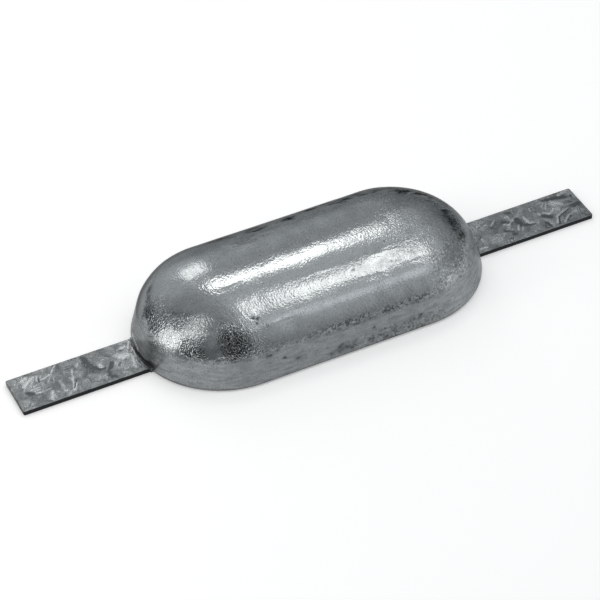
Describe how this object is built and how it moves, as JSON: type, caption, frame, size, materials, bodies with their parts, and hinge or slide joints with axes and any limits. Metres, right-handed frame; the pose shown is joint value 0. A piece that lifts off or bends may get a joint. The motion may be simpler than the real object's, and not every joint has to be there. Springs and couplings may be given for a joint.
{
  "type": "sacrificial anode",
  "caption": "Weld-on hull anode: a round-ended, domed zinc casting poured round a flat galvanised steel strap whose bare ends are welded to the ship's plating.",
  "frame": {"origin": "middle of the flat back, on the plane that meets the hull", "axes": "+X along the strap, +Y across the body, +Z out from the hull through the top of the dome"},
  "size_m": [0.51, 0.15, 0.06],
  "materials": {
    "zinc": "as-cast zinc skin, rough and half glossy, matt on the skirt",
    "galvanised_steel": "hot-dip galvanised with feathery spangle, dark sheared edges"
  },
  "bodies": {
    "root": {"cast_body": "zinc", "steel_strap": "galvanised_steel"}
  },
  "joints": []
}
